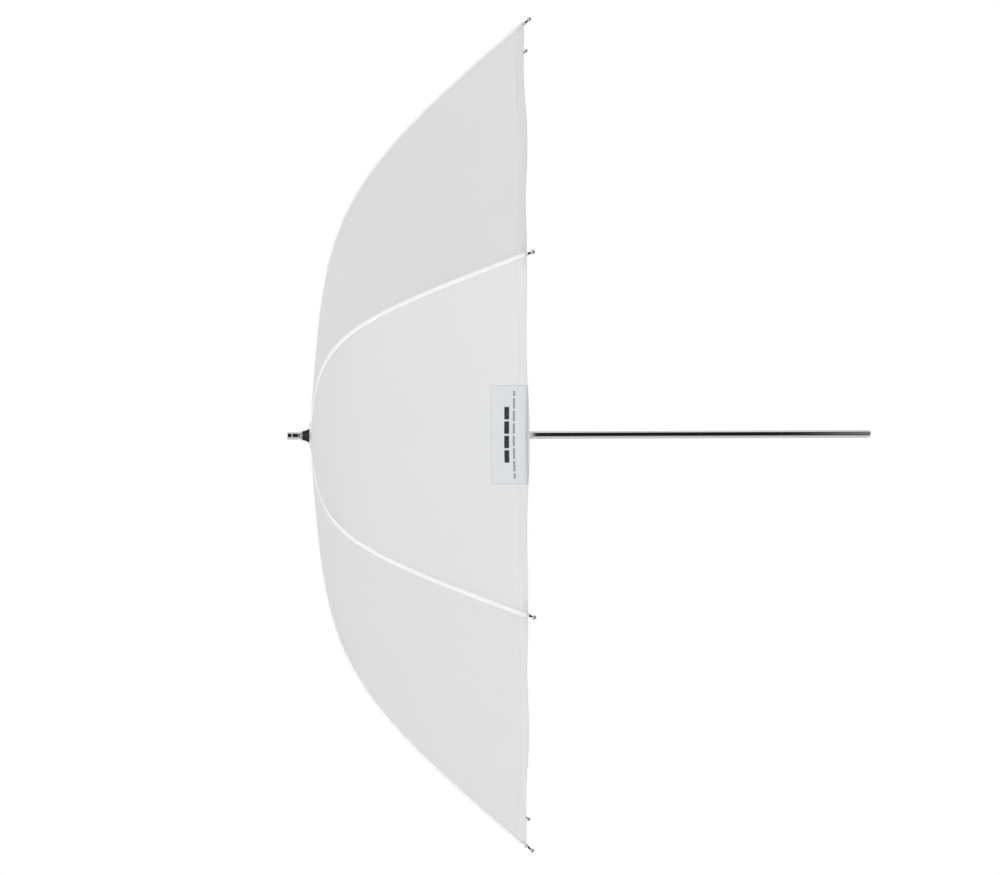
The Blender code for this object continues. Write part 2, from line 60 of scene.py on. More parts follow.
HALF_GORE = math.pi / RIB_COUNT
SIN_HALF = math.sin(HALF_GORE)
COS_HALF = math.cos(HALF_GORE)
TIP_RADIUS = 0.425
RIM_PLANE_X = -0.2398
CLOTH_START = 0.0118
FLEX_RADIUS = 0.2220
SLOPE_MEAN = 0.616
SLOPE_SWING = 0.544
BEND_PLACE = 0.61
BEND_WIDTH = 0.22
HEM_RADIUS = 0.4222
HEM_SCALLOP = 0.0016  # how far the hem draws in between a corner and the gore's middle
SAG = 0.011  # sag in the middle of a gore, as a share of the gore's width
RIPPLE = 0.0007
HEM_FOLD = 0.0095
HEM_TURN = 0.0003  # radius of the fold at the hem's edge
HUB_OFFSET = 0.0028
RIB_OFFSET = 0.0020
OFFSET_BLEND = 0.0500
CLOTH_COLUMNS = 28
INNER_BANDS = (  # name, first and last radius, rows, and share of the width kept when folded
    ("crown", CLOTH_START, 0.030, 8, 0.92),
    ("inner", 0.030, 0.085, 14, 0.49),
    ("middle", 0.085, FLEX_RADIUS, 30, 0.25),
)
OUTER_ROWS = 44
CLOTH_PITCH = 0.00030
HEM_STITCHES = 0.0080  # from the hem's edge
CLOTH_THROUGH = 0.34  # share of the light that passes, here and below
TAPE_THROUGH = 0.07
LABEL_THROUGH = 0.25

# Seams, corners, patch and label
TAPE_HALF = 0.0028
TAPE_HEIGHT = 0.00075
TAPE_START = 0.0150
TAPE_STITCHES = 0.0019  # from the rib
CORNER_START = 0.4160
CORNER_END = 0.4232
PATCH_BORE = 0.0043
PATCH_RADIUS = 0.0130
LABEL_HALF = 0.0442
LABEL_TOP_RADIUS = 0.3925
LABEL_END_RADIUS = 0.4216
LABEL_DEPTH = 0.0414
LABEL_LIFT = 0.0006
BAR_PLACE = 0.0192  # the bar and the line, from the label's top edge
BAR_END = 0.0258
LINE_PLACE = 0.0275
LINE_END = 0.0392

# Ribs and stretchers
HUB_RADIUS = 0.0100
RIB_WIRE = 0.0012
RIB_JOINT = 0.2220
WIRE_GAP = 0.0035
OUTER_START = 0.0012
STRETCHER_DROP = 0.0045
STRETCHER_WIRE = 0.0011
EYE_RADIUS = 0.0019
EYE_DEPTH = 0.0022
EYE_HOLE = 0.00085
JOINT_EYE_RADIUS = 0.0022
JOINT_EYE_DEPTH = 0.0026
JOINT_EYE_HOLE = 0.00125
CHEEK_INSIDE = 0.00165
CHEEK_THICKNESS = 0.0008
CHEEK_BACK = 0.0080
CHEEK_FRONT = 0.0024
CHEEK_TOP = 0.0010
CHEEK_BELOW_PIN = 0.0024
CLAMP_LENGTH = 0.0042
CLAMP_DEPTH = 0.0028
PIN_RADIUS = 0.0009
PIN_HEAD = 0.0004
WIRE_END = 0.4215
BALL_PLACE = 0.4265
BALL_RADIUS = 0.00195
NECK_RADIUS = 0.0009
SOCKET_RADIUS = 0.0014
CLEARANCE = 0.0003

# Hubs
HUB_BORE = 0.0044
HUB_CORE = 0.0069
HUB_RIM = 0.0122
HUB_WIRE = 0.0005
SLOT_FLOOR = 0.0071
SLOT_WIDTH = 0.0032
HUB_EDGE = 0.0006
HUB_NECK = 0.0030
HUB_TAPER = 0.0008
FLANGE_OVER = 0.0016
FLANGE_UNDER = 0.0030
RUNNER_SLEEVE = 0.0063
RUNNER_LENGTH = 0.0400
RUNNER_GRIP = 0.0078
RUNNER_GRIP_LENGTH = 0.0030

# Shaft and cap
SHAFT_RADIUS = 0.0040
RETAINER_X = (-0.4634, -0.4598)
RETAINER_GROOVE = 0.0036
DECOR_GROOVE_X = (-0.4702, -0.4694)
DECOR_GROOVE = 0.00365
PLUG_SEAT = 0.0032
CAP_NARROW = 0.0047
CAP_WIDE = 0.0068
CAP_BORE = 0.0043

LATHE_STEPS = 72
TURNED_SHARP = 50  # degrees above which an edge stays sharp
CARVED_SHARP = 38
WIRE_SHARP = 40

# Studio
AMBIENT = 0.28
LOBES = (  # direction, sharpness and strength
    ((-0.7, -0.7, 0.0), 6.0, 3.25),
    ((0.0, 0.0, 1.0), 6.0, 0.58),
    ((0.0, 1.0, 0.0), 6.0, 2.7),
)
WHITE = (1, 1, 1, 1)
DARK_RISE = (0.34, 0.58)
DARK_SIDES = (0.20, 0.34)
DARK_SHARE = 0.97
FLOOR_PLACE = (-0.24, 0, -1.05)
FLOOR_RADIUS = 5.0
FLOOR_FADE = (1.6, 4.6)
FLOOR_GLOW = 0.36
CARD_DEPTH = (-1.30, -0.95)
CARD_WIDTH = (0.15, 1.2, 0.4)  # middle, half and soft edge
CARD_SHADE = 0.76
MIRROR_SHADE = 0.22
CAMERA_LENS = 151.2
CAMERA_PLACE = (-0.281, -4.13, -0.0024)
CAMERA_ANGLES = (90, 0.2, -0.219)


# ---------------------------------------------------------------- the canopy's surface


def log_cosh(value):
    return math.log(math.cosh(value))


def cloth_x(radius):
    rho = radius / TIP_RADIUS
    bend = log_cosh((1 - BEND_PLACE) / BEND_WIDTH) - log_cosh((rho - BEND_PLACE) / BEND_WIDTH)
    return RIM_PLANE_X - TIP_RADIUS * (SLOPE_MEAN * (1 - rho) + SLOPE_SWING * BEND_WIDTH * bend)


def cloth_slope(radius):
    rho = radius / TIP_RADIUS
    return SLOPE_MEAN + SLOPE_SWING * math.tanh((rho - BEND_PLACE) / BEND_WIDTH)


def cloth_tangent(radius):
    return Vector((cloth_slope(radius), 0, 1)).normalized()


def inward(radius):
    tangent = cloth_tangent(radius)
    return Vector((tangent.z, 0, -tangent.x))


def cloth_point(radius):
    return Vector((cloth_x(radius), 0, radius))


def rib_point(radius):
    share = max(0.0, 1 - (radius - HUB_RADIUS) / OFFSET_BLEND)
    offset = RIB_OFFSET + (HUB_OFFSET - RIB_OFFSET) * share
    return cloth_point(radius) + offset * inward(radius)


NOTCH_PIVOT = Vector((cloth_x(HUB_RADIUS) + HUB_OFFSET, 0, HUB_RADIUS))
FLEX_POINT = rib_point(RIB_JOINT)
STRETCHER_PIVOT = FLEX_POINT + STRETCHER_DROP * inward(RIB_JOINT)
RUNNER_PIVOT = Vector((2 * STRETCHER_PIVOT.x - NOTCH_PIVOT.x, 0, HUB_RADIUS))
RUNNER_END_X = RUNNER_PIVOT.x + RUNNER_LENGTH


def station(k):
    """Turn of rib k's frame, k from 1. Ribs 1 and 8 stand beside the gore that faces -Y."""
    around = HALF_GORE + 2 * HALF_GORE * (k - 1)
    return Matrix.Rotation(math.pi / 2 - around, 4, "X")


def gore_inward(radius, side):
    """Inward normal of the gore on this side of a rib, in the rib's frame."""
    slope = cloth_slope(radius)
    return Vector((COS_HALF, -slope * side * SIN_HALF, -slope * COS_HALF)).normalized()


def on_cloth(radius, share, k, depth=0.0):
    """A point of the cloth in rib k's frame.

    The share runs from -1 to 1, between the middles of the gores on either side of the rib.
    Depth is measured inwards from the cloth.
    """
    side = 1 if share >= 0 else -1
    chord = abs(share) * radius * SIN_HALF
    place = Vector((cloth_x(radius), side * chord * COS_HALF, radius - chord * SIN_HALF))
    across = 1 - (1 - abs(share)) ** 2
    sag = SAG * 2 * radius * SIN_HALF * across
    world = station(k) @ place
    unrest = noise.noise(world * 11.0) + 0.5 * noise.noise(world * 27.0 + Vector((5, 3, 1)))
    sag += RIPPLE * unrest * across * min(1.0, radius / 0.1)
    return place + (sag + depth) * gore_inward(radius, side)


def hem_radius(share):
    """Radius, measured at the rib, at which the cloth ends."""
    return HEM_RADIUS - HEM_SCALLOP * math.sin(math.pi * abs(share)) ** 2


class Length:
    """Length along a rib, and along the middle of a gore, from the crown to a radius."""

    STEP = 0.001

    def __init__(self):
        self.rib = [0.0]
        self.gore = [0.0]
        for i in range(round(0.44 / self.STEP)):
            slope = cloth_slope((i + 0.5) * self.STEP)
            self.rib.append(self.rib[-1] + self.STEP * math.hypot(1, slope))
            self.gore.append(self.gore[-1] + self.STEP * math.hypot(COS_HALF, slope))

    def at(self, table, radius):
        place = radius / self.STEP
        low = min(int(place), len(table) - 2)
        return table[low] + (place - low) * (table[low + 1] - table[low])

    def along_rib(self, radius):
        return self.at(self.rib, radius)

    def along_gore(self, radius):
        return self.at(self.gore, radius)


LENGTH = Length()
HEM_ALONG = LENGTH.along_rib(HEM_RADIUS)


# ---------------------------------------------------------------- mesh helpers


def new_object(name, bm, paint, sharp=None):
    """An object from a bmesh, in the scene, with smooth shading up to the sharp angle."""
    mesh = bpy.data.meshes.new(name)
    bm.to_mesh(mesh)
    bm.free()
    mesh.shade_smooth()
    if sharp:
        mesh.set_sharp_from_angle(angle=math.radians(sharp))
    mesh.materials.append(paint)
    obj = bpy.data.objects.new(name, mesh)
    bpy.context.scene.collection.objects.link(obj)
    return obj


def lathe(bm, profile, steps=LATHE_STEPS, matrix=None, closed=False):
    """Adds a solid turned about X from (x, radius) points."""
    matrix = matrix or Matrix.Identity(4)
    rings = []
    for x, radius in profile:
        if radius < 1e-7:
            rings.append([bm.verts.new(matrix @ Vector((x, 0, 0)))])
            continue
        ring = []
        for i in range(steps):
            angle = 2 * math.pi * i / steps
            point = Vector((x, radius * math.cos(angle), radius * math.sin(angle)))
            ring.append(bm.verts.new(matrix @ point))
        rings.append(ring)
    pairs = list(zip(rings, rings[1:]))
    if closed:
        pairs.append((rings[-1], rings[0]))
    for a, b in pairs:
        for i in range(steps):
            j = (i + 1) % steps
            corners = [a[i % len(a)], a[j % len(a)], b[j % len(b)], b[i % len(b)]]
            corners = list(dict.fromkeys(corners))
            if len(corners) > 2:
                bm.faces.new(corners)


def softened(profile, bevel):
    """The profile with its inner points rounded. Points on the axis and the ends stay."""
    arcs = 3
    made = [profile[0]]
    for before, here, after in zip(profile, profile[1:], profile[2:]):
        here_v, before_v, after_v = Vector(here), Vector(before), Vector(after)
        back, on = before_v - here_v, after_v - here_v
        reach = min(bevel, back.length * 0.45, on.length * 0.45)
        if reach < 1e-6 or back.angle(on) > 2.9:
            made.append(here)
            continue
        start = here_v + back.normalized() * reach
        end = here_v + on.normalized() * reach
        for i in range(arcs + 1):
            t = i / arcs
            point = (1 - t) ** 2 * start + 2 * t * (1 - t) * here_v + t**2 * end
            made.append(tuple(point))
    made.append(profile[-1])
    return made


def tube(bm, points, radius):
    """Adds a round wire through points in the XZ plane, with rounded ends."""
    sides = 14
    path = [Vector(p) for p in points]
    first = (path[0] - path[1]).normalized()
    last = (path[-1] - path[-2]).normalized()
    spots = [(p, radius) for p in path]
    for angle in (15, 45, 75):
        a = math.radians(angle)
        spots.insert(0, (path[0] + first * radius * 0.6 * math.sin(a), radius * math.cos(a)))
        spots.append((path[-1] + last * radius * 0.6 * math.sin(a), radius * math.cos(a)))
    rings = []
    for index, (place, size) in enumerate(spots):
        low = spots[max(0, index - 1)][0]
        high = spots[min(len(spots) - 1, index + 1)][0]
        way = (high - low).normalized()
        out = Vector((-way.z, 0, way.x))
        ring = []
        for i in range(sides):
            angle = 2 * math.pi * i / sides
            turn = math.cos(angle) * out + math.sin(angle) * Vector((0, 1, 0))
            ring.append(bm.verts.new(place + size * turn))
        rings.append(ring)
    for a, b in zip(rings, rings[1:]):
        for i in range(sides):
            j = (i + 1) % sides
            bm.faces.new((a[i], a[j], b[j], b[i]))
    bm.faces.new(rings[0][::-1])
    bm.faces.new(rings[-1])


def bevelled_box(bm, low, high, bevel, matrix=None):
    """Adds a box between two corners, with rounded edges."""
    low, high = Vector(low), Vector(high)
    place = Matrix.Translation((low + high) / 2) @ Matrix.Diagonal((*(high - low), 1))
    made = bmesh.ops.create_cube(bm, size=1, matrix=(matrix or Matrix.Identity(4)) @ place)
    edges = list({e for v in made["verts"] for e in v.link_edges})
    bmesh.ops.bevel(bm, geom=edges, offset=bevel, segments=2, affect="EDGES", profile=0.5)


def turned(name, profile, paint, steps=LATHE_STEPS, closed=False, sharp=TURNED_SHARP):
    """A new object turned about X."""
    bm = bmesh.new()
    lathe(bm, profile, steps=steps, closed=closed)
    return new_object(name, bm, paint, sharp)


def eye(bm, place, radius, depth, hole):
    """A ring with rounded edges, whose axis is tangential."""
    matrix = Matrix.Translation(place) @ Matrix.Rotation(math.pi / 2, 4, "Z")
    half = depth / 2
    edge = min(0.0004, (radius - hole) * 0.4)
    profile = [
        (-half, hole + edge * 0.5),
        (-half, radius - edge),
        (-half + edge * 0.4, radius - edge * 0.3),
        (-half + edge, radius),
        (half - edge, radius),
        (half - edge * 0.4, radius - edge * 0.3),
        (half, radius - edge),
        (half, hole + edge * 0.5),
        (half - edge * 0.5, hole),
        (-half + edge * 0.5, hole),
    ]
    lathe(bm, profile, steps=28, matrix=matrix, closed=True)


def joined(obj, body, slot, *nodes):
    """Sets what a piece rides on, and hides the CAD nodes it stands for. The slot is not used."""
    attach(obj, body)
    if nodes:
        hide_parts(*nodes)


# ---------------------------------------------------------------- material helpers


class Graph:
    """The node tree of a material or of the world, with short calls."""

    def __init__(self, owner, output="ShaderNodeOutputMaterial"):
        owner.use_nodes = True
        self.owner = owner
        self.tree = owner.node_tree
        self.tree.nodes.clear()
        self.out = self.tree.nodes.new(output)

    def node(self, kind, inputs=None, **settings):
        made = self.tree.nodes.new(kind)
        for key, value in settings.items():
            setattr(made, key, value)
        for key, value in (inputs or {}).items():
            if isinstance(value, bpy.types.NodeSocket):
                self.tree.links.new(value, made.inputs[key])
            else:
                made.inputs[key].default_value = value
        return made

    def math(self, operation, a, b=0.0):
        return self.node("ShaderNodeMath", {0: a, 1: b}, operation=operation).outputs[0]

    def add(self, *values):
        total = values[0]
        for value in values[1:]:
            total = self.math("ADD", total, value)
        return total

    def times(self, *values):
        total = values[0]
        for value in values[1:]:
            total = self.math("MULTIPLY", total, value)
        return total

    def sine(self, value, wavelength):
        return self.math("SINE", self.times(value, 2 * math.pi / wavelength))

    def band(self, value, centre, half, soft):
        """1 where value is within half of centre, falling to 0 over soft."""
        off = self.math("ABSOLUTE", self.math("SUBTRACT", value, centre))
        return self.range(off, half, half + soft, 1.0, 0.0)

    def range(self, value, low, high, to_low, to_high):
        made = self.node(
            "ShaderNodeMapRange",
            {"Value": value, 1: low, 2: high, 3: to_low, 4: to_high},
            interpolation_type="SMOOTHSTEP",
        )
        return made.outputs[0]

    def noise(self, vector, scale, detail=2.0, roughness=0.5):
        made = self.node(
            "ShaderNodeTexNoise",
            {"Vector": vector, "Scale": scale, "Detail": detail, "Roughness": roughness},
        )
        return made.outputs["Factor"] if "Factor" in made.outputs else made.outputs["Fac"]

    def stretched(self, vector, scale):
        return self.node("ShaderNodeMapping", {"Vector": vector, "Scale": scale}).outputs[0]

    def mix_colour(self, factor, a, b):
        made = self.node("ShaderNodeMix", {0: factor, 6: a, 7: b}, data_type="RGBA")
        return made.outputs[2]

    def bump(self, height):
        """Bump from a height in metres."""
        made = self.node("ShaderNodeBump", {"Height": height, "Strength": 1.0, "Distance": 1.0})
        return made.outputs[0]

    def uv(self, name):
        return self.split(self.uv_vector(name))

    def uv_vector(self, name):
        return self.node("ShaderNodeUVMap", uv_map=name).outputs[0]

    def split(self, vector):
        parts = self.node("ShaderNodeSeparateXYZ", {0: vector}).outputs
        return parts[0], parts[1]

    def position(self):
        return self.node("ShaderNodeTexCoord").outputs["Object"]

    def surface(self, colour, roughness, normal, uniform):
        inputs = {"Base Color": colour, "Roughness": roughness, "Normal": normal, **uniform}
        return self.node("ShaderNodeBsdfPrincipled", inputs).outputs[0]

    def mixed(self, share, a, b):
        return self.node("ShaderNodeMixShader", {0: share, 1: a, 2: b}).outputs[0]

    def emission(self, colour, strength):
        return self.node("ShaderNodeEmission", {"Color": colour, "Strength": strength}).outputs[0]

    def finish(self, shader):
        self.tree.links.new(shader, self.out.inputs["Surface"])
        return self.owner


def material_graph(name):
    return Graph(bpy.data.materials.new(name))


# ---------------------------------------------------------------- materials


def weave(g, across, along, pitch, height):
    """Height of a plain weave whose threads follow the two coordinates."""
    warp = g.sine(across, 2 * pitch)
    weft = g.sine(along, 2 * pitch)
    return g.times(warp, weft, height)


def dashes(g, along, pitch, share):
    """1 on each stitch along a row, 0 in the gaps between them."""
    cell = g.math("FRACT", g.times(along, 1 / pitch))
    off_middle = g.math("ABSOLUTE", g.math("SUBTRACT", cell, 0.5))
    return g.range(off_middle, share / 2 - 0.06, share / 2, 1.0, 0.0)


def fabric(g, colour, roughness, height, uniform, through):
    """Finishes a cloth that lets a share of the light through."""
    normal = g.bump(height)
    front = g.surface(colour, roughness, normal, uniform)
    back = g.node("ShaderNodeBsdfTranslucent", {"Color": colour, "Normal": normal})
    return g.finish(g.mixed(through, front, back.outputs[0]))


def cloth_material():
    """White translucent nylon, with puckers at its seams, a stitched hem and a fine weave."""
    g = material_graph("white_translucent_cloth")
    across, along = g.uv("gore")
    off_rib, rib_along = g.uv("rib")
    place = g.position()
    from_rib = g.math("ABSOLUTE", off_rib)
    from_hem = g.math("SUBTRACT", HEM_ALONG, rib_along)

    slubs = g.noise(g.stretched(g.uv_vector("gore"), (900, 60, 1)), 1.0, 3)
    cloudy = g.noise(place, 9.0, 4, 0.55)
    crinkle = g.noise(place, 38.0, 3, 0.6)

    wander = g.times(g.noise(place, 30.0, 2), 0.012)
    pucker = g.sine(g.add(rib_along, wander), 0.0085)
    pucker = g.times(pucker, g.range(from_rib, 0.0022, 0.013, 0.00007, 0.0))
    corner = g.math("SQRT", g.add(g.times(from_rib, from_rib), g.times(from_hem, from_hem)))
    fan = g.math("ARCTAN2", from_rib, g.math("ABSOLUTE", from_hem))
    fan = g.math("SINE", g.add(g.times(fan, 26.0), g.times(cloudy, 7.0)))
    fan = g.times(fan, g.range(corner, 0.006, 0.055, 0.00013, 0.0))
    crown = g.math("SINE", g.add(g.times(off_rib, 1500.0), g.times(crinkle, 5.0)))
    crown = g.times(crown, g.range(rib_along, 0.012, 0.05, 0.00016, 0.0))

    hem_row = g.band(from_hem, HEM_STITCHES, 0.00022, 0.00025)
    hem_stitch = g.times(hem_row, dashes(g, off_rib, 0.0030, 0.72))
    hem_ridge = g.range(from_hem, 0.0088, 0.0100, 1.0, 0.0)
    threads = weave(g, across, along, CLOTH_PITCH, 0.000018)
    height = g.add(
        threads,
        g.times(slubs, 0.00004),
        g.times(crinkle, 0.00016),
        pucker,
        fan,
        crown,
        g.times(hem_ridge, 0.00008),
        g.times(hem_row, -0.00008),
        g.times(hem_stitch, 0.00014),
    )

    tone = g.add(g.times(cloudy, 0.35), g.times(slubs, 0.4), g.times(crinkle, 0.25))
    colour = g.mix_colour(tone, (0.830, 0.832, 0.834, 1), (0.862, 0.864, 0.865, 1))
    doubled = g.range(from_hem, 0.0090, 0.0098, 1.0, 0.0)
    colour = g.mix_colour(g.times(doubled, 0.55), colour, (0.955, 0.956, 0.955, 1))
    colour = g.mix_colour(g.times(hem_stitch, 0.6), colour, (0.96, 0.96, 0.955, 1))
    # Painted shade: the cloth is darkened in a narrow strip just beside each seam tape, standing in
    # for the shadow along the raised tape's edge.
    painted_seam_shade = g.times(g.range(from_rib, TAPE_HALF, TAPE_HALF + 0.0011, 1.0, 0.0), 0.06)
    colour = g.mix_colour(painted_seam_shade, colour, (0.66, 0.66, 0.66, 1))
    uniform = {"Sheen Weight": 0.22, "Sheen Roughness": 0.35, "Specular IOR Level": 0.25}
    rough = g.range(slubs, 0.3, 0.7, 0.62, 0.78)
    return fabric(g, colour, rough, height, uniform, CLOTH_THROUGH)


def tape_material():
    """Folded seam allowance along a rib, with a row of stitches near each edge."""
    g = material_graph("seam_tape")
    across, along = g.uv("rib")
    place = g.position()
    from_rib = g.math("ABSOLUTE", across)
    rows = g.band(from_rib, TAPE_STITCHES, 0.00016, 0.0002)
    stitch = g.times(rows, dashes(g, along, 0.0027, 0.74))
    threads = weave(g, across, along, CLOTH_PITCH, 0.000016)
    puckers = g.times(g.sine(g.add(along, g.times(g.noise(place, 60.0), 0.006)), 0.0054), 0.00003)
    height = g.add(threads, puckers, g.times(rows, -0.00005), g.times(stitch, 0.00010))
    tone = g.noise(place, 45.0, 3)
    colour = g.mix_colour(tone, (0.955, 0.956, 0.956, 1), (0.98, 0.98, 0.978, 1))
    colour = g.mix_colour(g.times(stitch, 0.5), colour, (0.985, 0.985, 0.98, 1))
    uniform = {"Sheen Weight": 0.2, "Sheen Roughness": 0.35, "Specular IOR Level": 0.25}
    rough = g.range(tone, 0.3, 0.7, 0.62, 0.76)
    return fabric(g, colour, rough, height, uniform, TAPE_THROUGH)


def label_material():
    """Woven satin label with a stitched outline, a bar in four lengths and a broken line."""
    g = material_graph("woven_label")
    across, along = g.uv("label")
    place = g.position()
    ribs = g.times(g.sine(across, 0.00042), 0.000014)
    threads = weave(g, across, along, 0.00024, 0.000010)
    tone = g.noise(g.stretched(place, (60, 60, 500)), 1.0, 3)

    half = g.math("ABSOLUTE", across)
    inset = g.math("MINIMUM", along, g.math("SUBTRACT", LABEL_DEPTH, along))
    inset = g.math("MINIMUM", inset, g.math("SUBTRACT", LABEL_HALF, half))
    edge = g.range(inset, 0.0002, 0.0008, 1.0, 0.0)
    rows = g.band(inset, 0.0016, 0.00018, 0.0002)
    sideways = g.math("GREATER_THAN", half, LABEL_HALF - 0.0022)
    stitch_along = g.times(sideways, dashes(g, along, 0.0025, 0.7))
    stitch_across = g.times(g.math("SUBTRACT", 1.0, sideways), dashes(g, across, 0.0025, 0.7))
    stitch = g.times(rows, g.math("MAXIMUM", stitch_along, stitch_across))

    thick = g.times(g.band(along, BAR_PLACE, 0.0027, 0.0002), g.band(across, 0, BAR_END, 0.00015))
    thick = g.times(thick, dashes(g, g.add(across, BAR_END), BAR_END / 2, 0.93))
    fine = g.times(g.band(along, LINE_PLACE, 0.0012, 0.00015), g.band(across, 0, LINE_END, 0.00015))
    fine = g.times(fine, dashes(g, across, LINE_END / 3.5, 0.90))
    ink = g.math("MAXIMUM", thick, g.times(fine, 0.55))
    worn = g.times(ink, g.range(g.noise(place, 900.0, 2), 0.2, 0.5, 0.86, 1.0))

    satin = g.mix_colour(tone, (0.79, 0.825, 0.855, 1), (0.84, 0.87, 0.895, 1))
    satin = g.mix_colour(g.times(edge, 0.6), satin, (0.52, 0.525, 0.53, 1))
    satin = g.mix_colour(g.times(rows, 0.35), satin, (0.70, 0.72, 0.74, 1))
    satin = g.mix_colour(g.times(stitch, 0.8), satin, (0.93, 0.94, 0.95, 1))
    colour = g.mix_colour(worn, satin, (0.012, 0.016, 0.024, 1))
    height = g.add(ribs, threads, g.times(rows, -0.00012), g.times(stitch, 0.0002))
    uniform = {"Sheen Weight": 0.15, "Sheen Roughness": 0.3, "Specular IOR Level": 0.35}
    rough = g.range(tone, 0.2, 0.8, 0.42, 0.56)
    return fabric(g, colour, rough, height, uniform, LABEL_THROUGH)


def chrome_material():
    """Polished chrome tube with faint drawing lines, handling marks and a little grime."""
    g = material_graph("polished_chrome")
    place = g.position()
    lines = g.noise(g.stretched(place, (3, 900, 900)), 1.0, 3, 0.6)
    marks = g.noise(g.stretched(place, (140, 40, 40)), 1.0, 4, 0.65)
    rubbed = g.range(marks, 0.58, 0.72, 0.0, 1.0)
    rough = g.add(g.range(lines, 0.3, 0.7, 0.035, 0.075), g.times(rubbed, 0.07))
    colour = g.mix_colour(marks, (0.80, 0.81, 0.825, 1), (0.88, 0.885, 0.89, 1))
    normal = g.bump(g.times(lines, 0.0000012))
    return g.finish(g.surface(colour, rough, normal, {"Metallic": 1.0}))


def steel_material(name, dark, light, rough_low, rough_high):
    """Plated metal: slightly blotchy, with a fine grain and a few dull spots."""
    g = material_graph(name)
    place = g.position()
    blotch = g.noise(place, 160.0, 4, 0.6)
    fine = g.noise(place, 2200.0, 3, 0.6)
    spots = g.range(g.noise(place, 700.0, 2), 0.64, 0.74, 0.0, 1.0)
    colour = g.mix_colour(blotch, dark, light)
    colour = g.mix_colour(g.times(spots, 0.5), colour, (0.26, 0.25, 0.24, 1))
    rough = g.add(g.range(blotch, 0.3, 0.7, rough_low, rough_high), g.times(spots, 0.15))
    normal = g.bump(g.times(fine, 0.000008))
    return g.finish(g.surface(colour, rough, normal, {"Metallic": 1.0}))


def plastic_material():
    """Moulded black nylon with a fine grain and polished wear on its edges."""
    g = material_graph("moulded_black_plastic")
    place = g.position()
    grain = g.noise(place, 3600.0, 2, 0.5)
    flow = g.noise(g.stretched(place, (60, 240, 240)), 1.0, 3)
    edge = g.node("ShaderNodeNewGeometry").outputs["Pointiness"]
    worn = g.range(edge, 0.52, 0.60, 0.0, 1.0)
    colour = g.mix_colour(flow, (0.004, 0.004, 0.0045, 1), (0.010, 0.010, 0.011, 1))
    colour = g.mix_colour(g.times(worn, 0.30), colour, (0.05, 0.05, 0.052, 1))
    rough = g.math("SUBTRACT", g.range(grain, 0.3, 0.7, 0.34, 0.50), g.times(worn, 0.10))
    normal = g.bump(g.times(grain, 0.000018))
    return g.finish(g.surface(colour, rough, normal, {"Specular IOR Level": 0.28}))


def thread_material():
    """Twisted white sewing thread."""
    g = material_graph("white_thread")
    place = g.position()
    twist = g.noise(g.stretched(place, (2600, 900, 900)), 1.0, 2)
    colour = g.mix_colour(twist, (0.70, 0.70, 0.70, 1), (0.93, 0.93, 0.925, 1))
    rough = g.range(twist, 0.3, 0.7, 0.6, 0.8)
    normal = g.bump(g.times(twist, 0.00012))
    return g.finish(g.surface(colour, rough, normal, {"Sheen Weight": 0.3}))


cloth_paint = cloth_material()
tape_paint = tape_material()
label_paint = label_material()
chrome_paint = chrome_material()
steel_paint = steel_material(
    "zinc_plated_steel", (0.50, 0.505, 0.515, 1), (0.70, 0.705, 0.71, 1), 0.24, 0.38
)
tip_paint = steel_material(
    "nickel_tip", (0.50, 0.50, 0.51, 1), (0.68, 0.68, 0.69, 1), 0.14, 0.26
)
socket_paint = steel_material(
    "blackened_socket", (0.012, 0.012, 0.013, 1), (0.03, 0.03, 0.032, 1), 0.30, 0.45
)
plastic_paint = plastic_material()
thread_paint = thread_material()


# ---------------------------------------------------------------- canopy


def spaced(low, high, count, power=1.0):
    """Values from low to high, closer together near low when the power is above 1."""
    return [low + (high - low) * (i / count) ** power for i in range(count + 1)]


def columns():
    """Shares across the cloth at a rib, closer together near the rib."""
    half = spaced(0.0, 1.0, CLOTH_COLUMNS, power=1.35)
    return [-s for s in reversed(half[1:])] + half


def cloth_uvs(radius, share):
    """Rib coordinates and gore coordinates, in metres along the cloth."""
    side = 1 if share >= 0 else -1
    half = radius * SIN_HALF
    chord = abs(share) * half
    rib = (side * chord, LENGTH.along_rib(radius))
    gore = (-side * (half - chord), LENGTH.along_gore(radius))
    return rib, gore


def grid_object(name, rows, k, paint, layer_names=("rib", "gore"), flip=False):
    """An open sheet from rows of (place, uv for each layer), with places in rib k's frame."""
    bm = bmesh.new()
    layers = [bm.loops.layers.uv.new(layer) for layer in layer_names]
    turn = station(k)
    verts = [[bm.verts.new(turn @ spot[0]) for spot in row] for row in rows]
    for i in range(len(rows) - 1):
        for j in range(len(rows[0]) - 1):
            spots = [(i, j), (i, j + 1), (i + 1, j + 1), (i + 1, j)]
            if flip:
                spots[1:] = spots[:0:-1]
            face = bm.faces.new([verts[a][b] for a, b in spots])
            for loop, (a, b) in zip(face.loops, spots):
                for layer, uv in zip(layers, rows[a][b][1:]):
                    loop[layer].uv = uv
    return new_object(name, bm, paint)


def cloth_row(radius_of, shares, k, depth=0.0):
    """One row of the cloth's grid, from the radius at each share."""
    row = []
    for share in shares:
        radius = radius_of(share)
        rib, gore = cloth_uvs(radius, share)
        row.append((on_cloth(radius, share, k, depth), rib, gore))
    return row


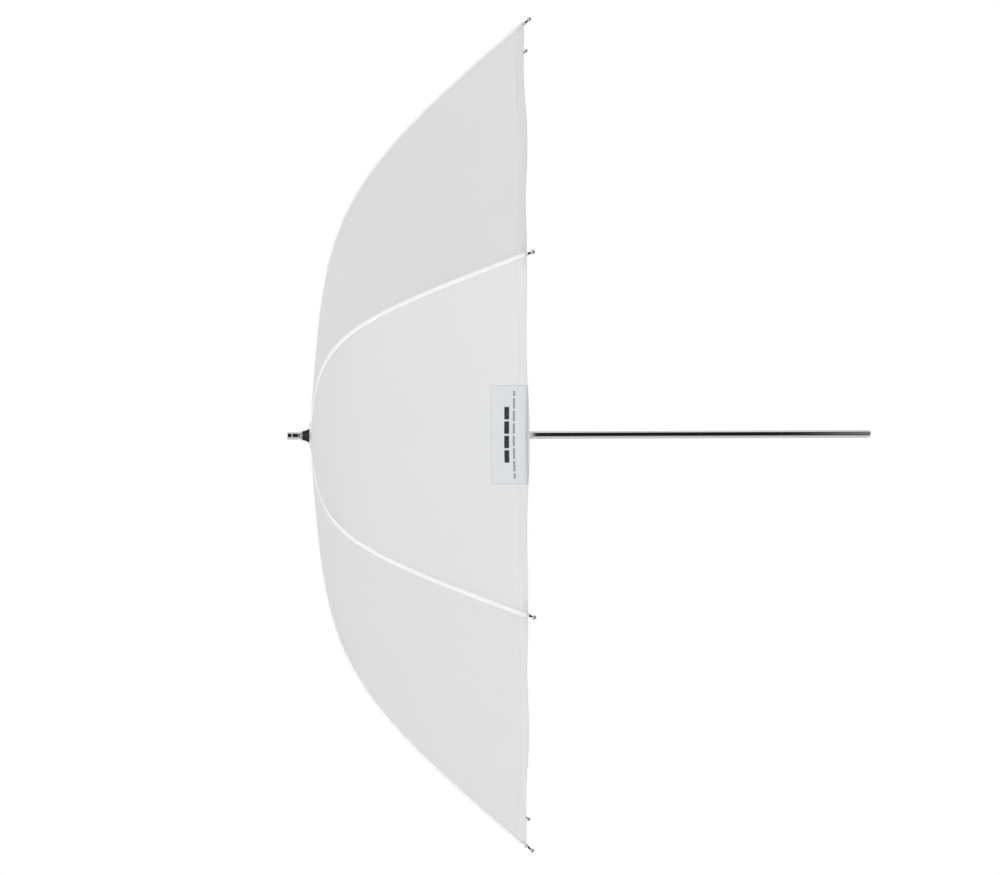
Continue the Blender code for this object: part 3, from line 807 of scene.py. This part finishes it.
def hem_rows(shares, k):
    """The cloth's edge turned round and sewn back on the inside."""
    rows = []
    for angle in (30, 60, 90, 120, 150, 180):
        a = math.radians(angle)
        row = []
        for share in shares:
            radius = hem_radius(share)
            depth = HEM_TURN * (1 - math.cos(a))
            side = 1 if share >= 0 else -1
            place = on_cloth(radius, share, k, depth)
            outwards = on_cloth(radius + 0.0005, share, k) - on_cloth(radius, share, k)
            place += HEM_TURN * math.sin(a) * outwards.normalized()
            rib, gore = cloth_uvs(radius, share)
            row.append((place, rib, gore))
        rows.append(row)
    for share_back in (0.12, 0.35, 0.6, 0.8, 1.0):
        back = HEM_FOLD * share_back
        depth = 2 * HEM_TURN
        rows.append(cloth_row(lambda s: hem_radius(s) - back * 0.64, shares, k, depth))
    return rows


def make_cloth(k):
    """The cloth on both sides of rib k, as sheets that meet edge to edge."""
    shares = columns()
    inner = []
    for band, low, high, rows, _ in INNER_BANDS:
        radii = spaced(low, high, rows)
        cloth_rows = [cloth_row(lambda s: radius, shares, k) for radius in radii]
        inner.append(grid_object(f"cloth_{band}_{k}", cloth_rows, k, cloth_paint))
    outer_rows = []
    for t in spaced(0.0, 1.0, OUTER_ROWS, power=1.25):
        outer_rows.append(
            cloth_row(lambda s: FLEX_RADIUS + (hem_radius(s) - FLEX_RADIUS) * t, shares, k)
        )
    outer_rows += hem_rows(shares, k)
    outer = grid_object(f"cloth_outer_{k}", outer_rows, k, cloth_paint)
    return inner, outer


TAPE_SIDE = ((-1.0, -0.10), (-0.97, 0.55), (-0.86, 0.86), (-0.55, 0.94), (-0.2, 1.0))
TAPE_SECTION = TAPE_SIDE + tuple((-place, height) for place, height in reversed(TAPE_SIDE))


def tape_object(name, radii, k):
    """The raised, folded seam over rib k."""
    rows = []
    for index, radius in enumerate(radii):
        row = []
        for place, height in TAPE_SECTION:
            chord = place * min(TAPE_HALF, radius * SIN_HALF * 0.5)
            share = chord / (radius * SIN_HALF)
            lift = height * TAPE_HEIGHT
            if index == len(radii) - 1 and name.startswith("seam_outer"):
                lift = min(lift, 0.1 * TAPE_HEIGHT)
            base = on_cloth(radius, share, k)
            out = -inward(radius)
            rib = (chord, LENGTH.along_rib(radius))
            row.append((base + lift * out, rib, rib))
        rows.append(row)
    return grid_object(name, rows, k, tape_paint)


def make_tapes(k):
    """The seam over rib k, cut at the same places as the cloth."""
    inner = []
    for band, low, high, rows, _ in INNER_BANDS:
        radii = spaced(max(low, TAPE_START), high, rows)
        inner.append(tape_object(f"seam_{band}_{k}", radii, k))
    outer_radii = spaced(FLEX_RADIUS, HEM_RADIUS - 0.0012, 50) + [HEM_RADIUS - 0.0003]
    outer = tape_object(f"seam_outer_{k}", outer_radii, k)
    return inner, outer


def make_corner(k):
    """Thread wound round the rib's end, where the cloth's corner is tied to it."""
    turns = 7
    start, end = rib_point(CORNER_START), rib_point(CORNER_END)
    length = (end - start).length
    steps = turns * 6
    profile = [(0.0, RIB_WIRE * 0.9)]
    for i in range(steps + 1):
        t = i / steps
        swell = 0.00225 - 0.00095 * t
        ridge = 0.00018 * abs(math.sin(math.pi * turns * t))
        profile.append((length * (0.02 + 0.96 * t), swell + ridge))
    profile.append((length, NECK_RADIUS * 0.9))
    way = (end - start).normalized()
    lean = math.atan2(way.x, way.z)
    place = Matrix.Translation(start) @ Matrix.Rotation(lean - math.pi / 2, 4, "Y")
    bm = bmesh.new()
    lathe(bm, profile, steps=24, matrix=station(k) @ place)
    return new_object(f"corner_binding_{k}", bm, thread_paint, sharp=60)


def squash_cloth(obj):
    """Gives the piece a mesh of its own."""
    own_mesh(obj)


def make_canopy():
    """Eight ribs' worth of cloth. Together the sheets are one smooth canopy at rest."""
    for k in range(1, RIB_COUNT + 1):
        inner, outer = make_cloth(k)
        inner_tape, outer_tape = make_tapes(k)
        corner = make_corner(k)
        for band, cloth, tape in zip(INNER_BANDS, inner, inner_tape):
            joined(cloth, f"rib_{k}", "white_cloth", f"canopy_inner_{k}")
            joined(tape, f"rib_{k}", "white_cloth")
            squash_cloth(cloth)
            squash_cloth(tape)
        joined(outer, f"rib_end_{k}", "white_cloth", f"canopy_outer_{k}")
        joined(outer_tape, f"rib_end_{k}", "white_cloth")
        joined(corner, f"rib_end_{k}", "white_cloth")
        squash_cloth(outer)
        squash_cloth(outer_tape)
        outer_length = LENGTH.along_rib(HEM_RADIUS) - LENGTH.along_rib(FLEX_RADIUS)
        outer_area = outer_length * SIN_HALF * (HEM_RADIUS + FLEX_RADIUS)
        outer_area += HEM_FOLD * 2 * HEM_RADIUS * SIN_HALF


def make_patch():
    """Round of cloth under the cap, scalloped a little by the seams below it."""
    bm = bmesh.new()
    rib_layer = bm.loops.layers.uv.new("rib")
    gore_layer = bm.loops.layers.uv.new("gore")
    around = 96  # points in a ring
    rings = []
    radii = spaced(PATCH_BORE, PATCH_RADIUS, 12)
    for index, radius in enumerate(radii + [PATCH_RADIUS + 0.00025, PATCH_RADIUS - 0.0002]):
        ring = []
        for i in range(around):
            angle = 2 * math.pi * i / around
            seam = math.cos(RIB_COUNT * (angle - HALF_GORE))
            lift = 0.0009 + 0.00035 * seam * min(1.0, radius / PATCH_RADIUS)
            if index >= len(radii):
                lift -= 0.00022 * (index - len(radii) + 1)
            flat = Vector((0, -math.cos(angle), math.sin(angle))) * radius
            ring.append(bm.verts.new(flat + Vector((cloth_x(radius) - lift, 0, 0))))
        rings.append((ring, radius))
    for (a, ra), (b, rb) in zip(rings, rings[1:]):
        for i in range(around):
            j = (i + 1) % around
            face = bm.faces.new((a[i], b[i], b[j], a[j]))
            for loop in face.loops:
                radius = ra if loop.vert in (a[i], a[j]) else rb
                turn = i if loop.vert in (a[i], b[i]) else i + 1
                along = turn / around * 2 * math.pi * PATCH_RADIUS
                loop[rib_layer].uv = (along, HEM_ALONG - 0.006 - (PATCH_RADIUS - radius))
                loop[gore_layer].uv = (along, radius)
    patch = new_object("crown_round", bm, cloth_paint)
    joined(patch, "frame", "white_cloth", "crown_patch")


def make_label():
    """Woven label on the front gore, in two halves that fold along the gore's middle."""
    rows, cols = 16, 40
    spread = COS_HALF
    halves = (("upper", 1, "rib_end_1"), ("lower", -1, "rib_end_8"))
    for which, side, body in halves:
        k = 1 if side > 0 else RIB_COUNT
        grid = []
        for i in range(rows + 1):
            row = []
            for j in range(cols + 1):
                off = LABEL_HALF * j / cols
                bow = 0.0010 * math.cos(math.pi * off / (2 * LABEL_HALF))
                t = i / rows
                radius = LABEL_TOP_RADIUS - bow + (LABEL_END_RADIUS - LABEL_TOP_RADIUS + bow) * t
                half = radius * SIN_HALF
                share = (half - off) / half
                edge = min(1.0, 8 * min(t, 1 - t) + 0.15, 8 * (1 - off / LABEL_HALF) + 0.15)
                depth = -LABEL_LIFT * (0.55 + 0.45 * edge)
                place = on_cloth(radius, -side * share, k, depth)
                along = LENGTH.along_gore(radius) - LENGTH.along_gore(LABEL_TOP_RADIUS - bow)
                row.append((place, (side * off, along)))
            grid.append(row)
        label = grid_object(f"label_{which}", grid, k, label_paint, ("label",), flip=True)
        joined(label, body, "label_cloth")
        if side > 0:
            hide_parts("label")
        squash_cloth(label)


# ---------------------------------------------------------------- ribs and stretchers


def frame_along(radius, place):
    """Frame at place: X along the rib outwards, Y tangential, Z out through the cloth."""
    matrix = Matrix((cloth_tangent(radius), (0, 1, 0), -inward(radius))).transposed().to_4x4()
    matrix.translation = place
    return matrix


def rib_inner_bmesh():
    bm = bmesh.new()
    points = [NOTCH_PIVOT + Vector((0, 0, EYE_HOLE + 0.0006))]
    points += [rib_point(r) for r in spaced(0.0135, RIB_JOINT - 0.0045, 34)]
    points += [FLEX_POINT - WIRE_GAP * cloth_tangent(RIB_JOINT)]
    tube(bm, points, RIB_WIRE)
    eye(bm, NOTCH_PIVOT, EYE_RADIUS, EYE_DEPTH, EYE_HOLE)
    matrix = frame_along(RIB_JOINT, FLEX_POINT)
    outside = CHEEK_INSIDE + CHEEK_THICKNESS
    low = (-CHEEK_BACK, -outside, -CLAMP_DEPTH)
    high = (-CHEEK_BACK + CLAMP_LENGTH, outside, CHEEK_TOP)
    bevelled_box(bm, low, high, 0.0004, matrix)
    bottom = -STRETCHER_DROP - CHEEK_BELOW_PIN
    for low_y, high_y in ((CHEEK_INSIDE, outside), (-outside, -CHEEK_INSIDE)):
        low = (-CHEEK_BACK + 0.0002, low_y, bottom)
        high = (CHEEK_FRONT, high_y, CHEEK_TOP - 0.0002)
        bevelled_box(bm, low, high, 0.00025, matrix)
    head = outside + PIN_HEAD
    profile = [(-head, 0), (-head, PIN_RADIUS * 0.7), (-head + 0.00015, PIN_RADIUS)]
    profile += [(-x, radius) for x, radius in reversed(profile)]
    place = Matrix.Translation(STRETCHER_PIVOT) @ Matrix.Rotation(math.pi / 2, 4, "Z")
    lathe(bm, profile, steps=20, matrix=place)
    return bm


def rib_outer_bmesh():
    bm = bmesh.new()
    points = [FLEX_POINT - OUTER_START * cloth_tangent(RIB_JOINT)]
    points += [rib_point(r) for r in spaced(RIB_JOINT + 0.003, WIRE_END - 0.0008, 40)]
    tube(bm, points, RIB_WIRE)
    return bm


def stretcher_bmesh():
    bm = bmesh.new()
    way = (RUNNER_PIVOT - STRETCHER_PIVOT).normalized()
    length = (RUNNER_PIVOT - STRETCHER_PIVOT).length
    low, high = JOINT_EYE_HOLE + 0.0006, length - EYE_HOLE - 0.0006
    tube(bm, [STRETCHER_PIVOT + way * d for d in spaced(low, high, 12)], STRETCHER_WIRE)
    eye(bm, STRETCHER_PIVOT, JOINT_EYE_RADIUS, JOINT_EYE_DEPTH, JOINT_EYE_HOLE)
    eye(bm, RUNNER_PIVOT, EYE_RADIUS, EYE_DEPTH, EYE_HOLE)
    return bm


def tip_bmesh():
    """Neck with a collar, and a ball. It stands along the rib's end."""
    centre = (rib_point(BALL_PLACE) - rib_point(WIRE_END)).length
    join = centre - math.sqrt(BALL_RADIUS**2 - NECK_RADIUS**2)
    first = math.asin(NECK_RADIUS / BALL_RADIUS)
    shoulder = CLEARANCE + 0.0004
    profile = [(CLEARANCE, 0), (CLEARANCE, SOCKET_RADIUS - 0.0002), (shoulder, SOCKET_RADIUS)]
    profile += [(join - 0.0006, NECK_RADIUS - 0.0002), (join, NECK_RADIUS)]
    arcs = 14
    for i in range(1, arcs):
        angle = first + (math.pi - first) * i / arcs
        profile.append((centre - BALL_RADIUS * math.cos(angle), BALL_RADIUS * math.sin(angle)))
    profile.append((centre + BALL_RADIUS, 0))
    heading = math.atan2(cloth_slope(WIRE_END), 1)
    place = Matrix.Translation(rib_point(WIRE_END)) @ Matrix.Rotation(heading - math.pi / 2, 4, "Y")
    bm = bmesh.new()
    lathe(bm, profile, steps=32, matrix=place)
    return bm


def shared(name, bm, paint, sharp):
    """A mesh without an object, kept for copies at each rib."""
    first = new_object(name, bm, paint, sharp)
    mesh = first.data
    bpy.data.objects.remove(first)
    return mesh


def make_frame_wires():
    """Ribs, stretchers and tips: one mesh of each kind, copied to every rib."""
    kinds = (
        ("rib_wire_inner", rib_inner_bmesh(), steel_paint, "rib", "rib_inner", "zinc_steel"),
        ("rib_wire_outer", rib_outer_bmesh(), steel_paint, "rib_end", "rib_outer", "zinc_steel"),
        ("stretcher_wire", stretcher_bmesh(), steel_paint, "strut", "stretcher", "zinc_steel"),
        ("tip_ball", tip_bmesh(), tip_paint, "rib_end", "rib_tip", "tip_metal"),
    )
    ball_start = (rib_point(BALL_PLACE) - rib_point(WIRE_END)).length - BALL_RADIUS * 0.85
    for name, bm, paint, body, node, slot in kinds:
        mesh = shared(name, bm, paint, WIRE_SHARP)
        if name == "tip_ball":
            mesh.materials.append(socket_paint)
            for face in mesh.polygons:
                if (face.center - rib_point(WIRE_END)).length < ball_start:
                    face.material_index = 1
        for k in range(1, RIB_COUNT + 1):
            obj = bpy.data.objects.new(f"{name}_{k}", mesh)
            bpy.context.scene.collection.objects.link(obj)
            obj.matrix_world = station(k)
            joined(obj, f"{body}_{k}", slot, f"{node}_{k}")


# ---------------------------------------------------------------- shaft, cap and hubs


def make_shaft():
    low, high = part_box("shaft")
    profile = [(low.x, 0), (low.x, SHAFT_RADIUS)]
    for (a, b), floor in ((DECOR_GROOVE_X, DECOR_GROOVE), (RETAINER_X, RETAINER_GROOVE)):
        profile += [(a, SHAFT_RADIUS), (a, floor), (b, floor), (b, SHAFT_RADIUS)]
    profile += [(high.x, SHAFT_RADIUS), (high.x, PLUG_SEAT), (high.x - 0.006, PLUG_SEAT)]
    shaft = turned("chrome_tube", softened(profile, 0.00035), chrome_paint)
    catch_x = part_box("catch_spring")[0].x
    slot = bmesh.new()
    low_corner = (catch_x - 0.0006, -0.0010, 0.0015)
    high_corner = (catch_x + 0.0150, 0.0010, 0.0080)
    bevelled_box(slot, low_corner, high_corner, 0.0003)
    joined(carved(shaft, slot), "frame", "chrome", "shaft")

    seat, end = high.x + CLEARANCE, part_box("end_plug")[1].x
    profile = [(seat - 0.006, 0), (seat - 0.006, 0.0030), (seat, 0.0030)]
    arcs = 12
    for i in range(arcs):
        angle = math.pi / 2 * i / arcs
        profile.append((seat + (end - seat) * math.sin(angle), SHAFT_RADIUS * math.cos(angle)))
    profile.append((end, 0))
    joined(turned("domed_plug", profile, chrome_paint), "frame", "chrome", "end_plug")


def carved(obj, cutter):
    """The object with the cutter's shape taken out of it."""
    bmesh.ops.recalc_face_normals(cutter, faces=cutter.faces)
    tool = new_object("cutter", cutter, obj.data.materials[0])
    modifier = obj.modifiers.new("cut", "BOOLEAN")
    modifier.operation = "DIFFERENCE"
    modifier.solver = "EXACT"
    modifier.object = tool
    depsgraph = bpy.context.evaluated_depsgraph_get()
    mesh = bpy.data.meshes.new_from_object(obj.evaluated_get(depsgraph))
    obj.modifiers.clear()
    obj.data = mesh
    mesh.shade_smooth()
    mesh.set_sharp_from_angle(angle=math.radians(CARVED_SHARP))
    bpy.data.objects.remove(tool)
    return obj


def make_cap():
    low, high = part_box("crown_cap")
    length = high.x - low.x
    profile = [(low.x, CAP_BORE), (low.x, CAP_NARROW)]
    arcs = 10
    for i in range(1, arcs + 1):
        share = i / arcs
        flare = CAP_NARROW + (CAP_WIDE - CAP_NARROW) * share**2
        profile.append((low.x + (length - 0.0008) * share, flare))
    profile += [(high.x, CAP_WIDE), (high.x, CAP_BORE)]
    cap = turned("flared_cap", softened(profile, 0.00025), plastic_paint, closed=True)
    joined(cap, "frame", "black_plastic", "crown_cap")

    low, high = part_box("cap_retainer")
    middle, half = (low.x + high.x) / 2, (high.x - low.x) / 2
    outer, inner = high.z, RETAINER_GROOVE + 0.0002
    profile = [(middle - half, inner)]
    for i in range(9):
        angle = math.pi * i / 8
        rise = (outer - inner - 0.0002) * math.sin(angle)
        profile.append((middle - half * math.cos(angle), inner + 0.0002 + rise))
    profile.append((middle + half, inner))
    ring = turned("retaining_ring", profile, steel_paint, closed=True)
    joined(ring, "frame", "zinc_steel", "cap_retainer")


def hub_slots(pivot_x):
    """Cutters for the slots that the wires' eyes turn in."""
    bm = bmesh.new()
    for k in range(1, RIB_COUNT + 1):
        low = (pivot_x - 0.012, -SLOT_WIDTH / 2, SLOT_FLOOR)
        high = (pivot_x + 0.012, SLOT_WIDTH / 2, HUB_RIM + 0.003)
        bevelled_box(bm, low, high, 0.0003, station(k))
    return bm


def make_hub(name, profile, edge, pivot_x, body, node):
    """A slotted hub, turned from its profile."""
    bm = bmesh.new()
    lathe(bm, softened(profile, edge), closed=True)
    bmesh.ops.recalc_face_normals(bm, faces=bm.faces)
    hub = new_object(name, bm, plastic_paint, sharp=CARVED_SHARP)
    joined(carved(hub, hub_slots(pivot_x)), body, "black_plastic", node)


def make_hubs():
    x = NOTCH_PIVOT.x
    profile = [
        (x - FLANGE_OVER, HUB_BORE),
        (x - FLANGE_OVER, HUB_RIM),
        (x + FLANGE_UNDER, HUB_RIM),
        (x + FLANGE_UNDER, HUB_CORE),
        (x + FLANGE_UNDER + HUB_NECK, HUB_CORE - HUB_TAPER),
        (x + FLANGE_UNDER + HUB_NECK, HUB_BORE),
    ]
    make_hub("notch_moulding", profile, HUB_EDGE, x, "frame", "top_notch")

    x = RUNNER_PIVOT.x
    groove = 0.00035
    profile = [
        (x - FLANGE_UNDER - HUB_NECK, HUB_BORE),
        (x - FLANGE_UNDER - HUB_NECK, HUB_CORE - HUB_TAPER),
        (x - FLANGE_UNDER, HUB_CORE),
        (x - FLANGE_UNDER, HUB_RIM),
        (x + FLANGE_OVER, HUB_RIM),
        (x + FLANGE_OVER, RUNNER_SLEEVE + HUB_EDGE),
        (x + FLANGE_OVER + 0.0012, RUNNER_SLEEVE),
    ]
    start, end = x + FLANGE_OVER + 0.006, RUNNER_END_X - RUNNER_GRIP_LENGTH - 0.006
    for place in spaced(start, end, 7):
        profile += [
            (place - 0.0006, RUNNER_SLEEVE),
            (place - 0.0003, RUNNER_SLEEVE - groove),
            (place + 0.0003, RUNNER_SLEEVE - groove),
            (place + 0.0006, RUNNER_SLEEVE),
        ]
    profile += [
        (RUNNER_END_X - RUNNER_GRIP_LENGTH - 0.004, RUNNER_SLEEVE),
        (RUNNER_END_X - RUNNER_GRIP_LENGTH, RUNNER_GRIP),
        (RUNNER_END_X, RUNNER_GRIP),
        (RUNNER_END_X, HUB_BORE),
    ]
    make_hub("runner_moulding", profile, 0.0005, x, "runner", "runner")

    for name, place, body, node in (
        ("notch_ring_wire", NOTCH_PIVOT.x, "frame", "notch_wire"),
        ("runner_ring_wire", RUNNER_PIVOT.x, "runner", "runner_wire"),
    ):
        profile = []
        for i in range(12):
            angle = 2 * math.pi * i / 12
            profile.append(
                (place + HUB_WIRE * math.cos(angle), HUB_RADIUS + HUB_WIRE * math.sin(angle))
            )
        ring = turned(name, profile, steel_paint, steps=96, closed=True, sharp=None)
        joined(ring, body, "zinc_steel", node)


def repaint_catch():
    """The catch keeps its CAD mesh and gets the steel of the wires."""
    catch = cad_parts["catch_spring"]
    catch.data.materials.clear()
    catch.data.materials.append(steel_paint)


# ---------------------------------------------------------------- studio


def make_floor():
    """Pale floor that brightens into the white surroundings towards its edge."""
    g = material_graph("studio_floor")
    place = g.position()
    x, y = g.split(place)
    distance = g.math("SQRT", g.add(g.times(x, x), g.times(y, y)))
    fade = g.range(distance, *FLOOR_FADE, 0.0, 1.0)
    speck = g.noise(place, 60.0, 3)
    colour = g.mix_colour(speck, (0.74, 0.74, 0.74, 1), (0.76, 0.76, 0.76, 1))
    matt = g.node("ShaderNodeBsdfPrincipled", {"Base Color": colour, "Roughness": 0.8})
    glow = g.emission(WHITE, FLOOR_GLOW)
    lit = g.node("ShaderNodeAddShader", {0: matt.outputs[0], 1: glow})
    floor_seen = g.mixed(fade, lit.outputs[0], g.emission(WHITE, 1.0))
    # A black card on the floor, seen only in mirror reflections: it darkens the shaft.
    card = g.times(g.range(y, *CARD_DEPTH, 1.0, 0.0), g.band(x, *CARD_WIDTH))
    mirrored = g.node("ShaderNodeLightPath").outputs["Is Glossy Ray"]
    shade = g.times(mirrored, g.add(MIRROR_SHADE, g.times(card, CARD_SHADE)))
    paint = g.finish(g.mixed(shade, floor_seen, g.emission((0, 0, 0, 1), 0.0)))
    bm = bmesh.new()
    bmesh.ops.create_circle(bm, cap_ends=True, radius=FLOOR_RADIUS, segments=128)
    floor = new_object("floor", bm, paint)
    floor.location = FLOOR_PLACE


def make_world():
    """White to the camera. The light on the object comes from a dim surround with brighter
    sides, and a dark band behind the camera, which the shaft mirrors."""
    world = bpy.data.worlds.new("studio")
    bpy.context.scene.world = world
    g = Graph(world, "ShaderNodeOutputWorld")
    ray = g.node("ShaderNodeTexCoord").outputs["Generated"]

    def towards(direction):
        way = tuple(Vector(direction).normalized())
        made = g.node("ShaderNodeVectorMath", {0: ray, 1: way}, operation="DOT_PRODUCT")
        return made.outputs["Value"]

    total = AMBIENT
    for direction, power, strength in LOBES:
        facing = g.math("MAXIMUM", towards(direction), 0.0)
        total = g.add(g.times(g.math("POWER", facing, power), strength), total)
    behind_camera = g.range(towards((0, -1, 0)), *DARK_RISE, 0.0, DARK_SHARE)
    middle = g.range(g.math("ABSOLUTE", towards((1, 0, 0))), *DARK_SIDES, 1.0, 0.0)
    total = g.times(total, g.math("SUBTRACT", 1.0, g.times(behind_camera, middle)))
    seen = g.node("ShaderNodeLightPath").outputs["Is Camera Ray"]
    strength = g.node("ShaderNodeMix", {0: seen, 2: total, 3: 1.0}, data_type="FLOAT")
    back = g.node("ShaderNodeBackground", {"Color": WHITE, "Strength": strength.outputs[0]})
    g.finish(back.outputs[0])


def make_camera():
    data = bpy.data.cameras.new("camera")
    data.sensor_width = 36.0
    data.lens = CAMERA_LENS
    data.clip_start = 0.05
    data.clip_end = 60.0
    camera = bpy.data.objects.new("camera", data)
    bpy.context.scene.collection.objects.link(camera)
    camera.location = CAMERA_PLACE
    camera.rotation_euler = [math.radians(angle) for angle in CAMERA_ANGLES]
    bpy.context.scene.camera = camera


def set_view():
    view = bpy.context.scene.view_settings
    view.view_transform = "Standard"
    view.look = "None"
    view.exposure = 0.0
    view.gamma = 1.0


make_camera()
set_view()
make_world()
make_floor()
make_canopy()
make_patch()
make_label()
make_frame_wires()
make_shaft()
make_cap()
make_hubs()
repaint_catch()
